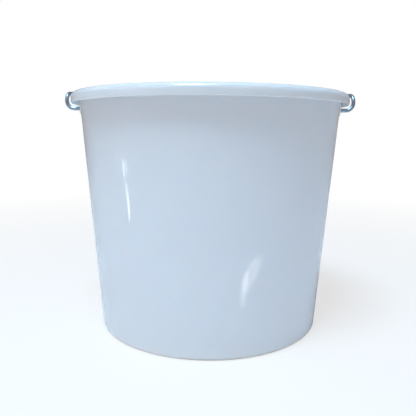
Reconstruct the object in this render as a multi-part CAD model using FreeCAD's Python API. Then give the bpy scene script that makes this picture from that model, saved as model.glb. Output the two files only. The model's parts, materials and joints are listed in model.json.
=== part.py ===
import FreeCAD, Part
import math
import os

Vector = FreeCAD.Vector

# A tapered plastic fermenting bucket with a turned-down lip, a wire bail and a grip on the bail.
# Frame: millimetres, +Z up, origin at the middle of the base on the surface it stands on.
# The bail turns about X through the two ears; at rest it leans back to +Y and its grip lies on the rim.

# Bucket moulding
rim_height = 239.0
lip_depth = 10.6
lip_overhang = 8.7
lip_thickness = 2.0
lip_outer_round = 5.0
lip_inner_round = 1.8
lip_edge_round = 0.9
channel_round = 1.2
wall_top_radius = 132.3
base_radius = 114.9
base_round = 4.0
wall_thickness = 2.2
floor_thickness = 2.6
floor_corner_round = 6.0
foot_width = 12.0
foot_recess = 1.8
foot_step_round = 0.7

# Ears that carry the bail, part of the same moulding
ear_proud = 3.4
ear_half_width = 9.0
ear_slope_height = 3.5
ear_skin = 1.1
pivot_below_lip = 3.2

# Wire bail
wire_radius = 2.0
bearing_clearance = 0.08
pin_end_gap = 0.3
pin_tip_chamfer = 0.6
crank_side_clearance = 7.5
crank_rim_rise = 1.5
crank_foot_round = 7.5
shoulder_lean_deg = 9.6
grip_kink_deg = 20.0
grip_kink_round = 20.0

# Grip
grip_length = 92.0
grip_radius = 9.4
collar_radius = 10.8
collar_length = 5.0
collar_round = 1.6
groove_count = 6
groove_width = 3.0
groove_depth = 0.9
grip_end_play = 1.0
rest_gap = 0.3
rim_inset = 0.2


# Derived places
lip_radius = wall_top_radius + lip_overhang
lip_underside = rim_height - lip_depth
wall_slope = (wall_top_radius - base_radius) / lip_underside
pivot_height = lip_underside - pivot_below_lip
crank_reach = lip_radius + crank_side_clearance + wire_radius
crank_height = rim_height + crank_rim_rise - pivot_height
crank_head_round = crank_height - crank_foot_round
grip_reach = lip_radius - collar_radius - rim_inset
grip_height = rim_height + collar_radius + rest_gap
bearing_radius = wire_radius + bearing_clearance


def outer_wall_radius(height):
    return base_radius + wall_slope * height


def inner_wall_radius(height):
    return outer_wall_radius(height) - wall_thickness * math.hypot(1, wall_slope)


bore_bottom = inner_wall_radius(pivot_height) + ear_skin


# Start, middle and end of the arc that rounds one corner of a path.
def corner_arc(corner, before, after, radius):
    arriving = (corner - before).normalize()
    leaving = (after - corner).normalize()
    turn = arriving.getAngle(leaving)
    setback = radius * math.tan(turn / 2)
    towards_centre = (leaving - arriving).normalize()
    bulge = radius / math.cos(turn / 2) - radius
    return corner - arriving * setback, corner + towards_centre * bulge, corner + leaving * setback


# A wire of straight runs and tangent arcs; each corner is (point, radius).
def rounded_wire(corners, closed):
    count = len(corners)
    edges = []
    runs = []
    for index, (point, radius) in enumerate(corners):
        if radius > 0:
            start, middle, end = corner_arc(
                point, corners[index - 1][0], corners[(index + 1) % count][0], radius
            )
            runs.append((start, end, Part.Arc(start, middle, end).toShape()))
        else:
            runs.append((point, point, None))
    for index, (start, end, arc) in enumerate(runs):
        if arc:
            edges.append(arc)
        last = index == count - 1
        if last and not closed:
            break
        next_start = runs[(index + 1) % count][0]
        if end.distanceToPoint(next_start) > 1e-6:
            edges.append(Part.makeLine(end, next_start))
    return Part.Wire(edges)


# A solid of revolution about an axis through the origin.
def turned(corners, axis):
    profile = rounded_wire(corners, closed=True)
    return Part.Face(profile).revolve(Vector(0, 0, 0), axis, 360)


# Floor, tapered wall and turned-down lip as one shell of even thickness.
def vessel():
    skirt_inner = lip_radius - lip_thickness
    web_underside = rim_height - lip_thickness
    foot_inner = base_radius - foot_width
    floor_top = foot_recess + floor_thickness
    profile = [
        (0, foot_recess, 0),
        (foot_inner, foot_recess, foot_step_round),
        (foot_inner, 0, foot_step_round),
        (base_radius, 0, base_round),
        (outer_wall_radius(web_underside), web_underside, channel_round),
        (skirt_inner, web_underside, lip_outer_round - lip_thickness),
        (skirt_inner, lip_underside, lip_edge_round),
        (lip_radius, lip_underside, lip_edge_round),
        (lip_radius, rim_height, lip_outer_round),
        (inner_wall_radius(rim_height), rim_height, lip_inner_round),
        (inner_wall_radius(floor_top), floor_top, floor_corner_round),
        (0, floor_top, 0),
    ]
    corners = [(Vector(radius, 0, height), rounding) for radius, height, rounding in profile]
    return turned(corners, Vector(0, 0, 1))


# Thickened pads under the lip at both ends of the bail's axis, sloped and half round below.
def ear_pads():
    bottom = pivot_height - ear_half_width
    top = rim_height - lip_thickness / 2
    face_radius = outer_wall_radius(pivot_height) + ear_proud
    inside_wall = wall_thickness / 2
    ring = [
        (outer_wall_radius(bottom) - inside_wall, bottom),
        (outer_wall_radius(bottom), bottom),
        (face_radius, bottom + ear_slope_height),
        (face_radius, top),
        (outer_wall_radius(top) - inside_wall, top),
    ]
    collar = turned([(Vector(radius, 0, height), 0) for radius, height in ring], Vector(0, 0, 1))
    span = 2 * lip_radius
    upper_corner = Vector(-lip_radius, -ear_half_width, pivot_height)
    upper = Part.makeBox(span, 2 * ear_half_width, rim_height - pivot_height, upper_corner)
    lower_end = Vector(-lip_radius, 0, pivot_height)
    lower = Part.makeCylinder(ear_half_width, span, lower_end, Vector(1, 0, 0))
    return collar.common(upper.fuse(lower).removeSplitter())


# Blind hole for one pin of the bail, open to the outside; side is -1 or 1.
def ear_bore(side):
    start = Vector(side * bore_bottom, 0, pivot_height)
    return Part.makeCylinder(bearing_radius, lip_radius - bore_bottom, start, Vector(side, 0, 0))


def bucket_body():
    body = vessel().fuse(ear_pads()).removeSplitter()
    for side in (-1, 1):
        body = body.cut(ear_bore(side))
    return body


# Corners of the wire's centreline: pin, crank round the lip, shoulder, kink, run inside the grip.
def bail_path():
    rise = math.atan2(grip_height - pivot_height - crank_height, grip_reach)
    lean = math.radians(shoulder_lean_deg)
    kink = math.radians(grip_kink_deg)
    kink_setback = grip_kink_round * math.tan(kink / 2)
    kink_corner = grip_length / 2 + grip_end_play + kink_setback
    arc_turn = math.pi / 2 - lean - kink

    # The shoulder corner is where the leaning leg meets the line of the kink, in the bail's own plane.
    bail_span = grip_reach / math.cos(rise)
    across = crank_reach - kink_corner
    to_shoulder = (bail_span * math.cos(kink) - across * math.sin(kink)) / math.cos(lean + kink)
    from_kink = (across - to_shoulder * math.sin(lean)) / math.cos(kink)
    free_run = min(to_shoulder - crank_head_round, from_kink - kink_setback)
    shoulder_round = free_run / math.tan(arc_turn / 2)

    def in_bail_plane(x, along):
        return Vector(
            x, along * math.cos(rise), pivot_height + crank_height + along * math.sin(rise)
        )

    right_half = [
        (in_bail_plane(kink_corner, bail_span), grip_kink_round),
        (
            in_bail_plane(
                crank_reach - to_shoulder * math.sin(lean), to_shoulder * math.cos(lean)
            ),
            shoulder_round,
        ),
        (in_bail_plane(crank_reach, 0), crank_head_round),
        (Vector(crank_reach, 0, pivot_height), crank_foot_round),
        (Vector(bore_bottom + pin_end_gap, 0, pivot_height), 0),
    ]
    left_half = [
        (Vector(-point.x, point.y, point.z), radius) for point, radius in reversed(right_half)
    ]
    return left_half + right_half


def wire_bail():
    corners = bail_path()
    path = rounded_wire(corners, closed=False)
    tip = corners[0][0]
    section = Part.Wire(Part.makeCircle(wire_radius, tip, Vector(1, 0, 0)))
    wire = path.makePipeShell([section], True, False)
    ends = [edge for edge in wire.Edges if abs(abs(edge.CenterOfMass.x) - abs(tip.x)) < 1e-3]
    return wire.makeChamfer(pin_tip_chamfer, ends)


# Turned about its own axis on the wire: collars at the ends, shallow ring grooves between.
def handle_grip():
    half = grip_length / 2
    along = Vector(1, 0, 0)
    corners = [
        (Vector(-half, bearing_radius, 0), 0),
        (Vector(-half, collar_radius, 0), collar_round),
        (Vector(-half + collar_length, collar_radius, 0), collar_round / 2),
        (Vector(-half + collar_length, grip_radius, 0), 0),
        (Vector(half - collar_length, grip_radius, 0), 0),
        (Vector(half - collar_length, collar_radius, 0), collar_round / 2),
        (Vector(half, collar_radius, 0), collar_round),
        (Vector(half, bearing_radius, 0), 0),
    ]
    grip = turned(corners, along)
    barrel = grip_length - 2 * collar_length
    pitch = barrel / (groove_count + 1)
    for index in range(groove_count):
        middle = -barrel / 2 + pitch * (index + 1)
        left = middle - groove_width / 2
        right = middle + groove_width / 2
        groove_floor = grip_radius - groove_depth
        groove = [
            (Vector(left, collar_radius, 0), 0),
            (Vector(left, groove_floor, 0), groove_depth),
            (Vector(right, groove_floor, 0), groove_depth),
            (Vector(right, collar_radius, 0), 0),
        ]
        grip = grip.cut(turned(groove, along))
    grip.translate(Vector(0, grip_reach, grip_height))
    return grip


nodes = {
    "bucket_body": bucket_body,
    "wire_bail": wire_bail,
    "handle_grip": handle_grip,
}

os.makedirs("parts", exist_ok=True)
for name, make in nodes.items():
    shape = make()
    shape.exportStep(f"parts/{name}.step")
    print(name, shape.ShapeType, len(shape.Solids), shape.isValid(), round(shape.Volume, 1))
print("pivot height", round(pivot_height, 3), "grip axis", round(grip_reach, 3), round(grip_height, 3))
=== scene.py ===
import bpy
import json
import math
from mathutils import Matrix, Vector


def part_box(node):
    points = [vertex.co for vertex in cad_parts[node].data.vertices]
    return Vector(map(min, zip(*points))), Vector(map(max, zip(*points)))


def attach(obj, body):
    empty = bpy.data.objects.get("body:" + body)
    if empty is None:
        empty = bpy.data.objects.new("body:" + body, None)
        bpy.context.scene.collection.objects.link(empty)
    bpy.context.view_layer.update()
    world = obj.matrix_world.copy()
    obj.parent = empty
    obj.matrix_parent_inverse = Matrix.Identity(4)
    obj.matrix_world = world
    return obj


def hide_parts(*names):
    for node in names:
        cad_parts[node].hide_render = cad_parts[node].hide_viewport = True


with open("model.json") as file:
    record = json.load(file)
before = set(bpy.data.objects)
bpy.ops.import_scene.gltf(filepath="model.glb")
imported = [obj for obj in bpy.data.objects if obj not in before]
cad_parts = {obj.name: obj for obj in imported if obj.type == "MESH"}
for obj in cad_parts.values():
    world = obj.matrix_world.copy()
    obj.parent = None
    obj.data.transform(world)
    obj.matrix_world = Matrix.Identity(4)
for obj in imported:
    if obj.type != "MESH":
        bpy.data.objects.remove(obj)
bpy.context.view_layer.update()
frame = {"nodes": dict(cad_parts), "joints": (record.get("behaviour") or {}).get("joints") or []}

scene = bpy.context.scene
nodes = frame["nodes"]
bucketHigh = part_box("bucket_body")[1]

# the fixed shape of the effects that several finishes share
marksShape = {
    "patchDetail": 5.0,
    "patchRoughness": 0.62,
    "patchRange": (0.42, 0.72),
    "hairStretch": (1.0, 1.0, 0.06),
    "hairTurn": (0.35, 0.2, 0.5),
    "hairDetail": 2.0,
    "hairRange": (0.60, 0.68),
    "waveDetail": 1.0,
    "grainDetail": 3.0,
}
footScuffAndShadeShape = {
    "fadeRange": (0.2, 1.0),
    "size": 90.0,
    "detail": 6.0,
    "roughness": 0.7,
    "tornRange": (0.38, 0.62),
}


def newGroup(name, inputs, outputs):
    group = bpy.data.node_groups.new(name, "ShaderNodeTree")
    for label, kind, value in inputs:
        socket = group.interface.new_socket(name=label, in_out="INPUT", socket_type=kind)
        socket.default_value = value
    for label, kind in outputs:
        group.interface.new_socket(name=label, in_out="OUTPUT", socket_type=kind)
    entry = group.nodes.new("NodeGroupInput")
    leave = group.nodes.new("NodeGroupOutput")
    return group, entry, leave


def wire(tree, source, target):
    tree.links.new(source, target)


def addNode(tree, kind, **settings):
    node = tree.nodes.new(kind)
    for key, value in settings.items():
        setattr(node, key, value)
    return node


def addMath(tree, operation, first, second):
    node = addNode(tree, "ShaderNodeMath", operation=operation)
    for socket, value in zip(node.inputs, (first, second)):
        if isinstance(value, (int, float)):
            socket.default_value = value
        else:
            wire(tree, value, socket)
    return node.outputs[0]


def addRange(tree, value, low, high, toLow, toHigh):
    node = addNode(tree, "ShaderNodeMapRange")
    wire(tree, value, node.inputs["Value"])
    ends = {"From Min": low, "From Max": high, "To Min": toLow, "To Max": toHigh}
    for label, number in ends.items():
        node.inputs[label].default_value = number
    return node.outputs["Result"]


def marksGroup():  # hairline scratches and dull rubbed patches, as handling leaves them
    group, entry, leave = newGroup(
        "handlingMarks",
        [("Place", "NodeSocketVector", (0, 0, 0)), ("Patch Size", "NodeSocketFloat", 20.0),
         ("Hairline Size", "NodeSocketFloat", 400.0)],
        [("Rubbed", "NodeSocketFloat"), ("Hairlines", "NodeSocketFloat")],
    )
    patch = addNode(group, "ShaderNodeTexNoise")
    patch.inputs["Detail"].default_value = marksShape["patchDetail"]
    patch.inputs["Roughness"].default_value = marksShape["patchRoughness"]
    wire(group, entry.outputs["Place"], patch.inputs["Vector"])
    wire(group, entry.outputs["Patch Size"], patch.inputs["Scale"])
    rubbed = addRange(group, patch.outputs["Fac"], *marksShape["patchRange"], 0.0, 1.0)
    wire(group, rubbed, leave.inputs["Rubbed"])
    stretch = addNode(group, "ShaderNodeMapping")
    stretch.inputs["Scale"].default_value = marksShape["hairStretch"]
    stretch.inputs["Rotation"].default_value = marksShape["hairTurn"]
    wire(group, entry.outputs["Place"], stretch.inputs["Vector"])
    hair = addNode(group, "ShaderNodeTexNoise")
    hair.inputs["Detail"].default_value = marksShape["hairDetail"]
    wire(group, stretch.outputs["Vector"], hair.inputs["Vector"])
    wire(group, entry.outputs["Hairline Size"], hair.inputs["Scale"])
    lines = addRange(group, hair.outputs["Fac"], *marksShape["hairRange"], 0.0, 1.0)
    wire(group, lines, leave.inputs["Hairlines"])
    return group


def skinGroup():  # the slight unevenness of a moulded or dipped surface
    group, entry, leave = newGroup(
        "surfaceSkin",
        [("Place", "NodeSocketVector", (0, 0, 0)), ("Wave Size", "NodeSocketFloat", 12.0),
         ("Wave Height", "NodeSocketFloat", 1.0), ("Grain Size", "NodeSocketFloat", 900.0),
         ("Grain Height", "NodeSocketFloat", 0.1)],
        [("Height", "NodeSocketFloat")],
    )
    wave = addNode(group, "ShaderNodeTexNoise")
    wave.inputs["Detail"].default_value = marksShape["waveDetail"]
    grain = addNode(group, "ShaderNodeTexNoise")
    grain.inputs["Detail"].default_value = marksShape["grainDetail"]
    for node, label in ((wave, "Wave Size"), (grain, "Grain Size")):
        wire(group, entry.outputs["Place"], node.inputs["Vector"])
        wire(group, entry.outputs[label], node.inputs["Scale"])
    tall = addMath(group, "MULTIPLY", wave.outputs["Fac"], entry.outputs["Wave Height"])
    fine = addMath(group, "MULTIPLY", grain.outputs["Fac"], entry.outputs["Grain Height"])
    wire(group, addMath(group, "ADD", tall, fine), leave.inputs["Height"])
    return group


def footScuffAndShadeGroup():  # scuffs and painted shade along the standing edge, darker towards the bottom and fading out a few millimetres above it
    group, entry, leave = newGroup(
        "footScuffsAndShade",
        [("Place", "NodeSocketVector", (0, 0, 0)), ("Height", "NodeSocketFloat", 0.004),
         ("Amount", "NodeSocketFloat", 0.5)],
        [("ScuffedAndShaded", "NodeSocketFloat")],
    )
    split = addNode(group, "ShaderNodeSeparateXYZ")
    wire(group, entry.outputs["Place"], split.inputs[0])
    rise = addMath(group, "DIVIDE", split.outputs["Z"], entry.outputs["Height"])
    low = addRange(group, rise, *footScuffAndShadeShape["fadeRange"], 1.0, 0.0)
    broken = addNode(group, "ShaderNodeTexNoise")
    broken.inputs["Scale"].default_value = footScuffAndShadeShape["size"]
    broken.inputs["Detail"].default_value = footScuffAndShadeShape["detail"]
    broken.inputs["Roughness"].default_value = footScuffAndShadeShape["roughness"]
    wire(group, entry.outputs["Place"], broken.inputs["Vector"])
    torn = addRange(group, broken.outputs["Fac"], *footScuffAndShadeShape["tornRange"], 0.0, 1.0)
    both = addMath(group, "MULTIPLY", low, torn)
    scuffedAndShaded = addMath(group, "MULTIPLY", both, entry.outputs["Amount"])
    wire(group, scuffedAndShaded, leave.inputs["ScuffedAndShaded"])
    return group


marks = marksGroup()
skin = skinGroup()
footScuffsAndShade = footScuffAndShadeGroup()


def newMaterial(name):
    material = bpy.data.materials.new(name)
    material.use_nodes = True
    tree = material.node_tree
    shader = tree.nodes["Principled BSDF"]
    place = addNode(tree, "ShaderNodeTexCoord").outputs["Object"]
    return material, tree, shader, place


def placeGroup(tree, group, place, **values):
    node = addNode(tree, "ShaderNodeGroup", node_tree=group)
    wire(tree, place, node.inputs["Place"])
    for key, value in values.items():
        node.inputs[key.replace("_", " ")].default_value = value
    return node


def mixColour(tree, factor, first, second):
    node = addNode(tree, "ShaderNodeMix", data_type="RGBA")
    wire(tree, factor, node.inputs[0])
    for socket, value in ((node.inputs[6], first), (node.inputs[7], second)):
        if hasattr(value, "is_output"):
            wire(tree, value, socket)
        else:
            socket.default_value = (*value, 1.0)
    return node.outputs[2]


def addBump(tree, shader, height, strength, distance):
    bump = addNode(tree, "ShaderNodeBump")
    bump.inputs["Strength"].default_value = strength
    bump.inputs["Distance"].default_value = distance
    wire(tree, height, bump.inputs["Height"])
    wire(tree, bump.outputs["Normal"], shader.inputs["Normal"])


milkPlastic = {
    "colour": (0.80, 0.775, 0.79),
    "rubbedColour": (0.775, 0.745, 0.757),
    "roughness": 0.07,
    "rubbedRoughness": 0.14,
    "hairlineRoughness": 0.04,
    "patchSize": 14.0,
    "hairlineSize": 260.0,
    "wornAmount": 0.55,
    "waveSize": 9.0,
    "waveHeight": 1.0,
    "grainSize": 700.0,
    "grainHeight": 0.012,
    "bump": (0.35, 0.0012),
    "refraction": 1.49,
    "subsurfaceRadius": (0.7, 0.85, 1.0),
    "subsurface": 1.0,
    "subsurfaceScale": 0.012,
    # scuffs at the foot; their darker colour also paints the shade along the standing edge
    "scuffAndShadeColour": (0.52, 0.51, 0.50),
    "scuffAndShadeHeight": 0.0035,
    "scuffAndShadeAmount": 0.55,
    "scuffRoughness": 0.3,
}


def milkPlasticMaterial():
    values = milkPlastic
    material, tree, shader, place = newMaterial("milkPlastic")
    wear = placeGroup(
        tree, marks, place, Patch_Size=values["patchSize"], Hairline_Size=values["hairlineSize"]
    )
    worn = addMath(tree, "MULTIPLY", wear.outputs["Rubbed"], values["wornAmount"])
    clean = mixColour(tree, worn, values["colour"], values["rubbedColour"])
    foot = placeGroup(
        tree, footScuffsAndShade, place, Height=values["scuffAndShadeHeight"], Amount=values["scuffAndShadeAmount"]
    )
    # the scuff colour also paints shade along the standing edge, darker towards the bottom
    colour = mixColour(tree, foot.outputs["ScuffedAndShaded"], clean, values["scuffAndShadeColour"])
    wire(tree, colour, shader.inputs["Base Color"])
    dull = addRange(tree, worn, 0.0, 1.0, values["roughness"], values["rubbedRoughness"])
    fine = addMath(tree, "MULTIPLY", wear.outputs["Hairlines"], values["hairlineRoughness"])
    rough = addMath(tree, "MULTIPLY", foot.outputs["ScuffedAndShaded"], values["scuffRoughness"])
    dullAndFine = addMath(tree, "ADD", dull, fine)
    wire(tree, addMath(tree, "ADD", dullAndFine, rough), shader.inputs["Roughness"])
    surface = placeGroup(
        tree, skin, place,
        Wave_Size=values["waveSize"], Wave_Height=values["waveHeight"],
        Grain_Size=values["grainSize"], Grain_Height=values["grainHeight"],
    )
    addBump(tree, shader, surface.outputs["Height"], *values["bump"])
    shader.inputs["IOR"].default_value = values["refraction"]
    shader.inputs["Subsurface Weight"].default_value = values["subsurface"]
    shader.inputs["Subsurface Scale"].default_value = values["subsurfaceScale"]
    shader.inputs["Subsurface Radius"].default_value = values["subsurfaceRadius"]
    return material


zincWire = {
    "bright": (0.39, 0.455, 0.54),
    "dark": (0.21, 0.245, 0.29),
    "roughness": 0.34,
    "dullRoughness": 0.5,
    "patchSize": 160.0,
    "hairlineSize": 1500.0,
    "waveSize": 220.0,
    "waveHeight": 0.5,
    "grainSize": 2600.0,
    "grainHeight": 0.25,
    "bump": (0.4, 0.0002),
}


def rubbedMaterial(name, values, first, second):  # colour and gloss change where it is rubbed
    material, tree, shader, place = newMaterial(name)
    wear = placeGroup(
        tree, marks, place, Patch_Size=values["patchSize"], Hairline_Size=values["hairlineSize"]
    )
    rubbed = wear.outputs["Rubbed"]
    wire(tree, mixColour(tree, rubbed, first, second), shader.inputs["Base Color"])
    dull = addRange(tree, rubbed, 0.0, 1.0, values["roughness"], values["dullRoughness"])
    wire(tree, dull, shader.inputs["Roughness"])
    surface = placeGroup(
        tree, skin, place,
        Wave_Size=values["waveSize"], Wave_Height=values["waveHeight"],
        Grain_Size=values["grainSize"], Grain_Height=values["grainHeight"],
    )
    addBump(tree, shader, surface.outputs["Height"], *values["bump"])
    return material, shader


def zincWireMaterial():
    material, shader = rubbedMaterial("zincWire", zincWire, zincWire["bright"], zincWire["dark"])
    shader.inputs["Metallic"].default_value = 1.0
    return material


gripPlastic = {
    "colour": (0.80, 0.83, 0.87),
    "rubbedColour": (0.66, 0.68, 0.70),
    "roughness": 0.33,
    "dullRoughness": 0.5,
    "patchSize": 60.0,
    "hairlineSize": 700.0,
    "waveSize": 60.0,
    "waveHeight": 0.3,
    "grainSize": 1800.0,
    "grainHeight": 0.3,
    "bump": (0.3, 0.0003),
    "subsurface": 0.12,
    "subsurfaceScale": 0.004,
}


def gripPlasticMaterial():
    values = gripPlastic
    material, shader = rubbedMaterial(
        "gripPlastic", values, values["colour"], values["rubbedColour"]
    )
    shader.inputs["Subsurface Weight"].default_value = values["subsurface"]
    shader.inputs["Subsurface Scale"].default_value = values["subsurfaceScale"]
    return material


bucketShape = {
    "sides": 240,
    "wallTopRadius": 0.1323,
    "baseRadius": 0.1149,
    "baseRound": 0.004,
    "footWidth": 0.012,
    "footRecess": 0.0018,
    "footStepRound": 0.0007,
    "floorThickness": 0.0026,
    "floorCornerRound": 0.006,
    "wallThickness": 0.0022,
    "lipDepth": 0.0106,
    "lipThickness": 0.002,
    "lipOuterRound": 0.005,
    "lipInnerRound": 0.0018,
    "lipEdgeRound": 0.0009,
    "channelRound": 0.0012,
    "wallLoops": 22,
    "loopMargin": 0.002,
    "gateRadius": 0.0035,
    "gateHeight": 0.0007,
    "gateDishRadius": 0.009,
    "gateDishDepth": 0.0005,
    "gateTaper": 0.86,
    "earHalfWidth": 0.009,
    "earProud": 0.0034,
    "earSlope": 0.0035,
    "earEdgeRound": 0.0008,
    "earSides": 64,
    "pinBore": 0.00208,
    "pinBoreDepth": 0.0045,
    "pinBoreSides": 48,
    "drillClear": 0.004,
    "smoothAngle": 32.0,
}
# how near a point has to be to a ring or face to count as on it, in metres
onRingReach = 0.00003
onFaceReach = 0.00002


def pickNothing(mesh):
    bpy.ops.object.mode_set(mode="OBJECT")
    for part in (mesh.vertices, mesh.edges, mesh.polygons):
        for item in part:
            item.select = False


def pickEdges(mesh, test):  # selects the edges whose two ends both pass the test
    pickNothing(mesh)
    for edge in mesh.edges:
        edge.select = all(test(mesh.vertices[index].co) for index in edge.vertices)
    bpy.ops.object.mode_set(mode="EDIT")
    bpy.ops.mesh.select_mode(type="EDGE")


def pickFaces(mesh, test):  # selects the faces whose middle and normal pass the test
    pickNothing(mesh)
    for face in mesh.polygons:
        face.select = test(face.center, face.normal)
    bpy.ops.object.mode_set(mode="EDIT")
    bpy.ops.mesh.select_mode(type="FACE")


def lift(height):  # draws what is selected up or down
    bpy.ops.mesh.extrude_region_move(TRANSFORM_OT_translate={"value": (0.0, 0.0, height)})


def widen(grow):
    bpy.ops.transform.resize(value=(grow, grow, 1.0), center_override=(0.0, 0.0, 0.0))


def pullCap(fromRing, toRing):  # the face that closes the shell is pulled on to the next ring
    lift(toRing[1] - fromRing[1])
    widen(toRing[0] / fromRing[0])


def bevelPicked(offset, segments):
    bpy.ops.mesh.bevel(
        offset=offset, offset_type="OFFSET", segments=segments, profile=0.5, affect="EDGES"
    )


def roundRing(mesh, ring, radius, turnDegrees, segments):
    def onRing(place):
        across = abs(math.hypot(place.x, place.y) - ring[0])
        return across < onRingReach and abs(place.z - ring[1]) < onRingReach

    pickEdges(mesh, onRing)
    bevelPicked(radius * math.tan(math.radians(turnDegrees) / 2), segments)


def cutWith(piece, tool, operation):
    change = piece.modifiers.new("join", "BOOLEAN")
    change.operation = operation
    change.solver = "MANIFOLD"
    change.object = tool
    bpy.ops.object.select_all(action="DESELECT")
    bpy.context.view_layer.objects.active = piece
    piece.select_set(True)
    bpy.ops.object.modifier_apply(modifier=change.name)
    bpy.data.objects.remove(tool, do_unlink=True)


def addSidewaysRod(sides, radius, depth, middle, height):  # lies along the bail's axis
    bpy.ops.object.select_all(action="DESELECT")
    bpy.ops.mesh.primitive_cylinder_add(
        vertices=sides, radius=radius, depth=depth, end_fill_type="NGON",
        location=(middle, 0.0, height), rotation=(0.0, math.radians(90.0), 0.0),
    )
    bpy.ops.object.transform_apply(location=True, rotation=True, scale=True)
    return bpy.context.object


def addEar(piece, side, pinHeight, wallRadius):
    values = bucketShape
    face = wallRadius + values["earProud"]
    deep = values["earProud"] + values["wallThickness"] / 2
    half = values["earHalfWidth"]
    roof = bucketHigh.z - values["lipThickness"] / 2
    ear = addSidewaysRod(values["earSides"], half, deep, side * (face - deep / 2), pinHeight)
    mesh = ear.data
    bpy.ops.object.mode_set(mode="EDIT")
    bpy.ops.mesh.select_all(action="SELECT")  # the upper half is cut off and drawn up to the lip
    bpy.ops.mesh.bisect(
        plane_co=(0.0, 0.0, pinHeight), plane_no=(0.0, 0.0, 1.0), clear_outer=True, use_fill=True
    )
    pickFaces(mesh, lambda centre, normal: normal.z > 0.9)
    lift(roof - pinHeight)
    bpy.ops.mesh.select_all(action="SELECT")  # the lower front edge slopes back to the wall
    slopeTop = pinHeight - half + values["earSlope"]
    away = Vector((side * values["earSlope"], 0.0, -deep))
    bpy.ops.mesh.bisect(
        plane_co=(side * face, 0.0, slopeTop), plane_no=away.normalized(),
        clear_outer=True, use_fill=True,
    )

    def onFrontEdge(place):
        return abs(place.x - side * face) < onFaceReach and place.z < roof - 0.001

    pickEdges(mesh, onFrontEdge)
    bevelPicked(values["earEdgeRound"], 3)
    bpy.ops.mesh.select_all(action="SELECT")
    bpy.ops.mesh.normals_make_consistent(inside=False)
    bpy.ops.object.mode_set(mode="OBJECT")
    cutWith(piece, ear, "UNION")


def boreEar(piece, side, pinHeight, wallRadius):
    values = bucketShape
    length = values["pinBoreDepth"] + values["drillClear"]
    start = wallRadius + values["earProud"] - values["pinBoreDepth"]
    drill = addSidewaysRod(
        values["pinBoreSides"], values["pinBore"], length, side * (start + length / 2), pinHeight
    )
    cutWith(piece, drill, "DIFFERENCE")


def buildBucket():
    values = bucketShape
    rim = bucketHigh.z
    lipRadius = bucketHigh.x
    pinHeight = frame["joints"][0]["pos_m"][2]
    underLip = rim - values["lipDepth"]
    slope = (values["wallTopRadius"] - values["baseRadius"]) / underLip
    lean = math.degrees(math.atan(slope))
    wallSkin = values["wallThickness"] * math.hypot(1.0, slope)
    webUnder = rim - values["lipThickness"]
    skirt = lipRadius - values["lipThickness"]
    floorTop = values["footRecess"] + values["floorThickness"]

    def outside(height):
        return values["baseRadius"] + slope * height

    def inside(height):
        return outside(height) - wallSkin

    rings = [
        (values["baseRadius"] - values["footWidth"], values["footRecess"]),
        (values["baseRadius"] - values["footWidth"], 0.0),
        (values["baseRadius"], 0.0),
        (outside(webUnder), webUnder),
        (skirt, webUnder),
        (skirt, underLip),
        (lipRadius, underLip),
        (lipRadius, rim),
        (inside(rim), rim),
        (inside(floorTop), floorTop),
    ]
    bpy.ops.object.select_all(action="DESELECT")
    bpy.ops.mesh.primitive_circle_add(
        vertices=values["sides"], radius=rings[0][0], fill_type="NGON",
        location=(0.0, 0.0, rings[0][1]),
    )
    bucket = bpy.context.object
    bucket.name = "bucketMoulding"
    bpy.ops.object.transform_apply(location=True, rotation=True, scale=True)
    mesh = bucket.data
    bpy.ops.object.mode_set(mode="EDIT")
    bpy.ops.mesh.select_mode(type="FACE")
    for fromRing, toRing in zip(rings, rings[1:]):
        pullCap(fromRing, toRing)
    bpy.ops.mesh.select_all(action="SELECT")
    bpy.ops.mesh.normals_make_consistent(inside=False)
    low = values["floorCornerRound"] + floorTop + values["loopMargin"]
    high = pinHeight - values["earHalfWidth"] - values["loopMargin"]
    for step in range(values["wallLoops"]):
        bpy.ops.mesh.select_all(action="SELECT")
        height = low + (high - low) * step / (values["wallLoops"] - 1)
        bpy.ops.mesh.bisect(plane_co=(0.0, 0.0, height), plane_no=(0.0, 0.0, 1.0))
    rounds = [
        (0, values["footStepRound"], 90.0, 3),
        (1, values["footStepRound"], 90.0, 3),
        (2, values["baseRound"], 90.0 - lean, 7),
        (3, values["channelRound"], 90.0 - lean, 4),
        (4, values["lipOuterRound"] - values["lipThickness"], 90.0, 6),
        (5, values["lipEdgeRound"], 90.0, 4),
        (6, values["lipEdgeRound"], 90.0, 4),
        (7, values["lipOuterRound"], 90.0, 9),
        (8, values["lipInnerRound"], 90.0 - lean, 6),
        (9, values["floorCornerRound"], 90.0 - lean, 9),
    ]
    for index, radius, turn, segments in rounds:
        roundRing(mesh, rings[index], radius, turn, segments)
    # the gate mark: a shallow dish with a nub, in the middle of the recess underneath
    pickFaces(mesh, lambda centre, normal: normal.z < -0.99 and centre.xy.length < 0.001)
    dishEdge = rings[0][0] - values["footStepRound"] - values["gateDishRadius"]
    bpy.ops.mesh.inset(thickness=dishEdge)
    lift(values["gateDishDepth"])
    bpy.ops.mesh.inset(thickness=values["gateDishRadius"] - values["gateRadius"])
    lift(-values["gateHeight"])
    widen(values["gateTaper"])
    bpy.ops.object.mode_set(mode="OBJECT")
    print("bucket shell pulled up:", len(mesh.polygons), "faces")
    wallRadius = outside(pinHeight)
    for side in (-1, 1):
        addEar(bucket, side, pinHeight, wallRadius)
        boreEar(bucket, side, pinHeight, wallRadius)
    bpy.ops.object.select_all(action="DESELECT")
    bucket.select_set(True)
    bpy.context.view_layer.objects.active = bucket
    bpy.ops.object.shade_smooth_by_angle(angle=math.radians(values["smoothAngle"]))
    print("bucket with ears and bores:", len(bucket.data.polygons), "faces")
    return bucket


def giveMaterial(piece, material):
    piece.data.materials.clear()
    piece.data.materials.append(material)


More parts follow.
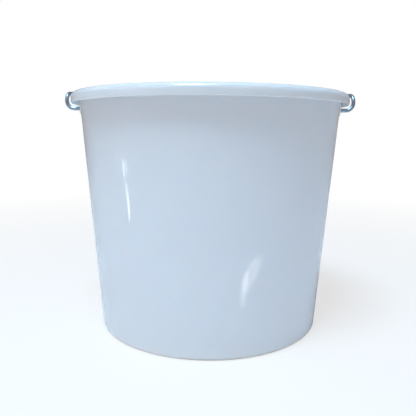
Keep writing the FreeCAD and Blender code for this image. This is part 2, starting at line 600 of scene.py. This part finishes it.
bucket = buildBucket()
giveMaterial(bucket, milkPlasticMaterial())
giveMaterial(nodes["bucket_body"], bucket.data.materials[0])
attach(bucket, "bucket")
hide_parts("bucket_body")
giveMaterial(nodes["wire_bail"], zincWireMaterial())
giveMaterial(nodes["handle_grip"], gripPlasticMaterial())
print("materials made")

view = {
    "distance": 0.5066,
    "height": 0.19885,
    "pitchDegrees": 8.83,
    "rollDegrees": 0.46,
    "sensorWidth": 36.0,
    "lens": 40.77,
    "shiftAcross": -0.0033,
}


def placeCamera():
    data = bpy.data.cameras.new("viewCamera")
    data.sensor_width = view["sensorWidth"]
    data.lens = view["lens"]
    data.shift_x = view["shiftAcross"]
    data.clip_start = 0.01
    camera = bpy.data.objects.new("viewCamera", data)
    scene.collection.objects.link(camera)
    stand = Matrix.Translation((0.0, -view["distance"], view["height"]))
    tilt = Matrix.Rotation(math.radians(90.0 - view["pitchDegrees"]), 4, "X")
    roll = Matrix.Rotation(math.radians(view["rollDegrees"]), 4, "Z")
    camera.matrix_world = stand @ tilt @ roll
    scene.camera = camera


studio = {
    "aim": (0.0, 0.0, 0.15),
    "floorRadius": 12.0,
    "floorColour": (0.90, 0.82, 0.76),
    "skyHigh": (0.54, 0.61, 0.71),
    "skyLow": (0.60, 0.515, 0.465),
    "skyStrength": 0.585,
    "whiteOut": (0.25, 1.1),
    "whiteMix": 0.66,
    "topPlace": (-0.28, -0.64, 1.75),
    "topSize": (0.6, 0.6),
    "topPower": 35.5,
    "topColour": (0.48, 0.75, 1.0),
    "leftPlace": (-1.4, -0.7, 0.6),
    "leftSize": (0.5, 1.1),
    "leftPower": 1.5,
    "leftColour": (1.0, 0.93, 0.87),
}

# small lights that only show as reflections in the gloss
glints = {
    "stripLong": {
        "place": (-0.420, -0.172, 0.051), "target": (-0.0724, -0.103, 0.140),
        "size": (0.008, 0.056), "turn": 6.0, "power": 0.024, "outline": "RECTANGLE",
    },
    "stripShort": {
        "place": (-0.422, -0.159, 0.106), "target": (-0.0724, -0.103, 0.172),
        "size": (0.006, 0.026), "turn": 5.0, "power": 0.009, "outline": "RECTANGLE",
    },
    "stripFaint": {
        "place": (-0.418, -0.180, 0.108), "target": (-0.0724, -0.103, 0.172),
        "size": (0.006, 0.024), "turn": 5.0, "power": 0.004, "outline": "RECTANGLE",
    },
    "leaf": {
        "place": (0.075, -0.157, 0.056), "target": (0.036, -0.116, 0.075),
        "size": (0.018, 0.048), "turn": -40.0, "power": 0.0055, "outline": "ELLIPSE",
    },
    "leafTail": {
        "place": (0.062, -0.160, 0.041), "target": (0.030, -0.116, 0.064),
        "size": (0.012, 0.036), "turn": -8.0, "power": 0.0030, "outline": "ELLIPSE",
    },
}


def softbox(name, place, target, size, power, colour=(1.0, 1.0, 1.0)):
    data = bpy.data.lights.new(name, "AREA")
    data.shape = "RECTANGLE"
    data.size, data.size_y = size
    data.energy = power
    data.color = colour
    lamp = bpy.data.objects.new(name, data)
    scene.collection.objects.link(lamp)
    aim = (Vector(target) - Vector(place)).to_track_quat("-Z", "Y")
    lamp.matrix_world = Matrix.Translation(place) @ aim.to_matrix().to_4x4()
    lamp.visible_camera = False
    return lamp


def paleWorld():  # brighter and bluer overhead; plain white where the camera looks past the object
    world = bpy.data.worlds.new("paleRoom")
    world.use_nodes = True
    tree = world.node_tree
    sky = tree.nodes["Background"]
    out = tree.nodes["World Output"]
    up = addNode(tree, "ShaderNodeSeparateXYZ")
    wire(tree, addNode(tree, "ShaderNodeTexCoord").outputs["Generated"], up.inputs[0])
    rise = addRange(tree, up.outputs["Z"], -0.1, 0.9, 0.0, 1.0)
    wire(tree, mixColour(tree, rise, studio["skyLow"], studio["skyHigh"]), sky.inputs["Color"])
    sky.inputs["Strength"].default_value = studio["skyStrength"]
    plain = addNode(tree, "ShaderNodeBackground")
    plain.inputs["Color"].default_value = (1.0, 1.0, 1.0, 1.0)
    choose = addNode(tree, "ShaderNodeMixShader")
    wire(tree, addNode(tree, "ShaderNodeLightPath").outputs["Is Camera Ray"], choose.inputs["Fac"])
    wire(tree, sky.outputs["Background"], choose.inputs[1])
    wire(tree, plain.outputs["Background"], choose.inputs[2])
    wire(tree, choose.outputs["Shader"], out.inputs["Surface"])
    scene.world = world


def paleFloorMaterial():  # fades to plain white with distance, so that no horizon shows
    material, tree, shader, place = newMaterial("paleFloor")
    shader.inputs["Base Color"].default_value = (*studio["floorColour"], 1.0)
    shader.inputs["Roughness"].default_value = 0.8
    shader.inputs["Specular IOR Level"].default_value = 0.1
    away = addNode(tree, "ShaderNodeVectorMath", operation="LENGTH")
    wire(tree, place, away.inputs[0])
    fade = addRange(tree, away.outputs["Value"], *studio["whiteOut"], studio["whiteMix"], 1.0)
    cameraRay = addNode(tree, "ShaderNodeLightPath").outputs["Is Camera Ray"]
    seen = addMath(tree, "MULTIPLY", fade, cameraRay)
    white = addNode(tree, "ShaderNodeEmission")
    blend = addNode(tree, "ShaderNodeMixShader")
    wire(tree, seen, blend.inputs["Fac"])
    wire(tree, shader.outputs["BSDF"], blend.inputs[1])
    wire(tree, white.outputs["Emission"], blend.inputs[2])
    wire(tree, blend.outputs["Shader"], tree.nodes["Material Output"].inputs["Surface"])
    return material


def buildStudio():
    paleWorld()
    bpy.ops.object.select_all(action="DESELECT")
    bpy.ops.mesh.primitive_circle_add(
        vertices=96, radius=studio["floorRadius"], fill_type="NGON", location=(0.0, 0.0, 0.0)
    )
    floor = bpy.context.object
    floor.name = "studioFloor"
    floor.data.materials.append(paleFloorMaterial())
    for name in ("top", "left"):
        softbox(
            name + "Box", studio[name + "Place"], studio["aim"],
            studio[name + "Size"], studio[name + "Power"], studio[name + "Colour"],
        )
    for name, values in glints.items():
        lamp = softbox(name, values["place"], values["target"], values["size"], values["power"])
        lamp.data.shape = values["outline"]
        turn = Matrix.Rotation(math.radians(values["turn"]), 4, "Z")
        lamp.matrix_world = lamp.matrix_world @ turn
        lamp.visible_diffuse = False


placeCamera()
buildStudio()
scene.view_settings.view_transform = "Standard"
print("camera and studio placed")
